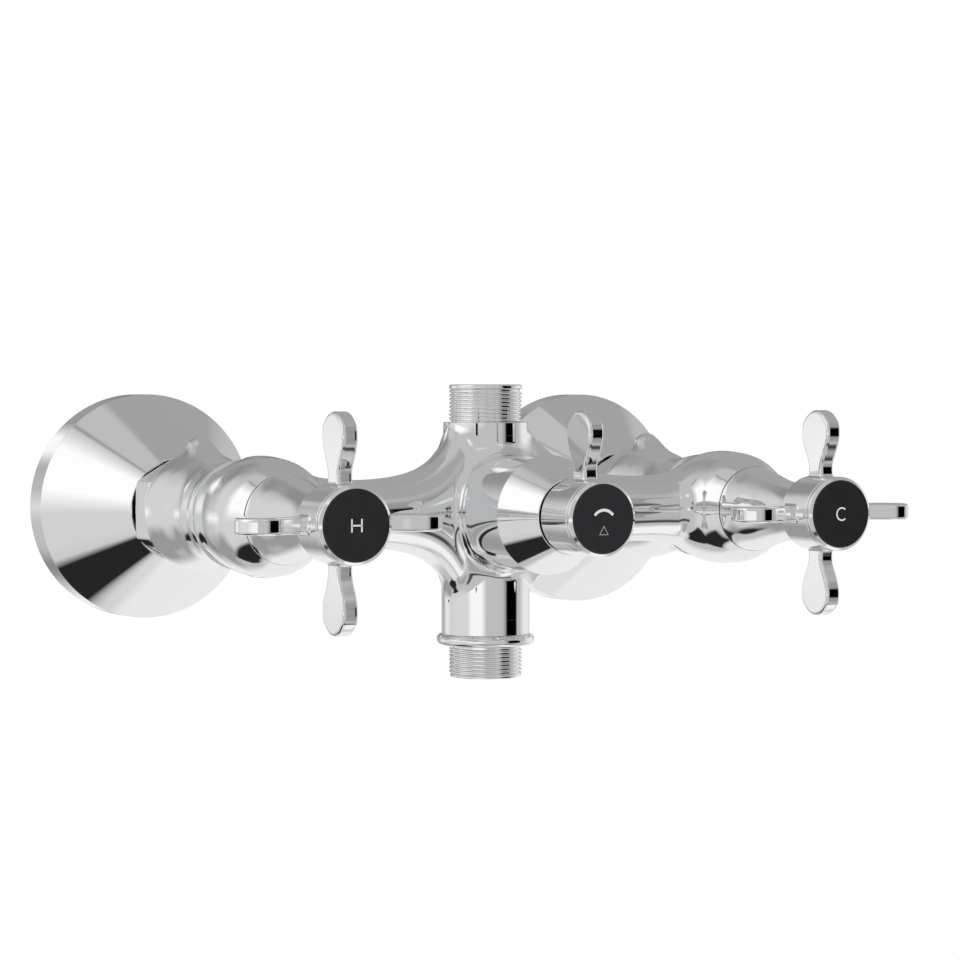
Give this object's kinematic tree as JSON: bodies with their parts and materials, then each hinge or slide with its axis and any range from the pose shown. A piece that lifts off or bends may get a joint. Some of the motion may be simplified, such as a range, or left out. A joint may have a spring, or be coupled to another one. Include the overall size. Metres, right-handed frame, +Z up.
{
  "type": "shower mixer",
  "caption": "Exposed wall-mounted shower mixer: cast body with flared arms, cross handles, a lever diverter and threaded outlets above and below.",
  "frame": {"origin": "on the wall face, midway between the two inlets, at the height of the handle axes", "axes": "+X along the wall towards the cold side, +Y into the wall, +Z up towards the upper outlet"},
  "size_m": [0.217, 0.1687, 0.0843],
  "materials": {
    "chrome": "polished plate",
    "brass": "machined",
    "rubber": "matt moulded",
    "ceramic": "lapped ceramic",
    "cap_black": "satin",
    "steel": "plain"
  },
  "bodies": {
    "fixed": {"body": "chrome", "top_outlet_nipple": "chrome", "bottom_outlet_nipple": "chrome", "hot_wall_union": "brass", "hot_flange": "chrome", "hot_union_nut": "chrome", "hot_union_washer": "rubber", "hot_inlet_neck": "chrome", "hot_neck_seal": "rubber", "cold_wall_union": "brass", "cold_flange": "chrome", "cold_union_nut": "chrome", "cold_union_washer": "rubber", "cold_inlet_neck": "chrome", "cold_neck_seal": "rubber", "hot_bonnet": "chrome", "hot_seat_seal": "rubber", "hot_fixed_disc": "ceramic", "hot_cartridge_body": "brass", "hot_o_ring": "rubber", "cold_bonnet": "chrome", "cold_seat_seal": "rubber", "cold_fixed_disc": "ceramic", "cold_cartridge_body": "brass", "cold_o_ring": "rubber", "diverter_bonnet": "chrome", "diverter_seat_seal": "rubber", "diverter_fixed_disc": "ceramic", "diverter_cartridge_body": "brass", "diverter_o_ring": "rubber"},
    "hot_turn": {"hot_handle": "chrome", "hot_index_ring": "chrome", "hot_index_cap": "cap_black", "hot_handle_screw": "steel", "hot_spindle": "brass", "hot_moving_disc": "ceramic"},
    "cold_turn": {"cold_handle": "chrome", "cold_index_ring": "chrome", "cold_index_cap": "cap_black", "cold_handle_screw": "steel", "cold_spindle": "brass", "cold_moving_disc": "ceramic"},
    "diverter_turn": {"diverter_handle": "chrome", "diverter_index_ring": "chrome", "diverter_index_cap": "cap_black", "diverter_handle_screw": "steel", "diverter_spindle": "brass", "diverter_moving_disc": "ceramic"}
  },
  "joints": [
    {"name": "hot_valve", "type": "hinge", "parent": "fixed", "child": "hot_turn", "pos_m": [-0.075, -0.14, 0], "axis": [0, -1, 0], "range_deg": [0, 90]},
    {"name": "cold_valve", "type": "hinge", "parent": "fixed", "child": "cold_turn", "pos_m": [0.075, -0.14, 0], "axis": [0, -1, 0], "range_deg": [-90, 0]},
    {"name": "diverter_valve", "type": "hinge", "parent": "fixed", "child": "diverter_turn", "pos_m": [0, -0.14, 0], "axis": [0, -1, 0], "range_deg": [-45, 45]}
  ]
}
